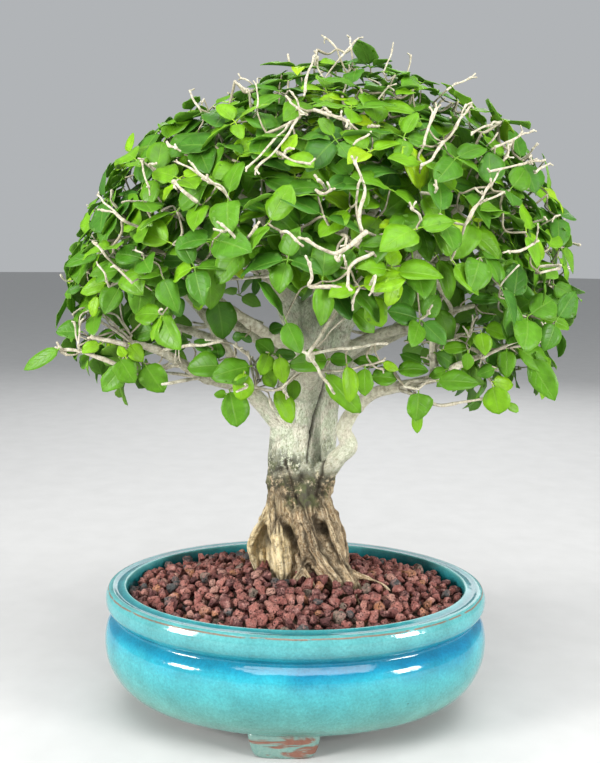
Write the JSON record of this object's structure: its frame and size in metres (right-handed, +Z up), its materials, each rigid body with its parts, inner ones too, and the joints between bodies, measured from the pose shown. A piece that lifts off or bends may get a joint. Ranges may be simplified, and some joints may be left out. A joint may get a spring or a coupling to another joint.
{
  "type": "parrots beak bonsai",
  "caption": "Small bonsai tree with a domed leafy crown, a thick pale trunk and spread surface roots, growing in an oval glazed pot with feet, top-dressed with red lava gravel.",
  "frame": {"origin": "on the table under the middle of the oval pot, which is also under the middle of the crown", "axes": "+Z up along the trunk, +X to the right along the pot's long side, -Y towards the viewer of the picture"},
  "size_m": [0.3592, 0.2843, 0.4465],
  "materials": {
    "glaze": "glossy turquoise glaze with deeper blue where it pools under the lip",
    "screen_mesh": "black plastic mesh",
    "soil": "gritty dark brown potting mix",
    "lava_stone": "matte pitted red-brown lava gravel",
    "bark": "pale grey-cream speckled bark, brown and fibrous at the roots",
    "leaf": "semi-gloss green leaf with pale veins"
  },
  "bodies": {
    "root": {"pot": "glaze", "drainage_screen_left": "screen_mesh", "drainage_screen_right": "screen_mesh", "potting_soil": "soil", "lava_gravel": "lava_stone", "tree_wood": "bark", "leafy_shoot_low_01": "leaf", "leafy_shoot_low_02": "leaf", "leafy_shoot_low_03": "leaf", "leafy_shoot_low_04": "leaf", "leafy_shoot_low_05": "leaf", "leafy_shoot_low_06": "leaf", "leafy_shoot_low_07": "leaf", "leafy_shoot_low_08": "leaf", "leafy_shoot_skirt_01": "leaf", "leafy_shoot_skirt_02": "leaf", "leafy_shoot_skirt_03": "leaf", "leafy_shoot_skirt_04": "leaf", "leafy_shoot_skirt_05": "leaf", "leafy_shoot_skirt_06": "leaf", "leafy_shoot_skirt_07": "leaf", "leafy_shoot_skirt_08": "leaf", "leafy_shoot_skirt_09": "leaf", "leafy_shoot_skirt_10": "leaf", "leafy_shoot_skirt_11": "leaf", "leafy_shoot_skirt_12": "leaf", "leafy_shoot_shoulder_01": "leaf", "leafy_shoot_shoulder_02": "leaf", "leafy_shoot_shoulder_03": "leaf", "leafy_shoot_shoulder_04": "leaf", "leafy_shoot_shoulder_05": "leaf", "leafy_shoot_shoulder_06": "leaf", "leafy_shoot_shoulder_07": "leaf", "leafy_shoot_shoulder_08": "leaf", "leafy_shoot_shoulder_09": "leaf", "leafy_shoot_shoulder_10": "leaf", "leafy_shoot_upper_01": "leaf", "leafy_shoot_upper_02": "leaf", "leafy_shoot_upper_03": "leaf", "leafy_shoot_upper_04": "leaf", "leafy_shoot_upper_05": "leaf", "leafy_shoot_upper_06": "leaf", "leafy_shoot_upper_07": "leaf", "leafy_shoot_upper_08": "leaf", "leafy_shoot_crown_01": "leaf", "leafy_shoot_crown_02": "leaf", "leafy_shoot_crown_03": "leaf", "leafy_shoot_crown_04": "leaf", "leafy_shoot_top_01": "leaf"}
  },
  "joints": []
}
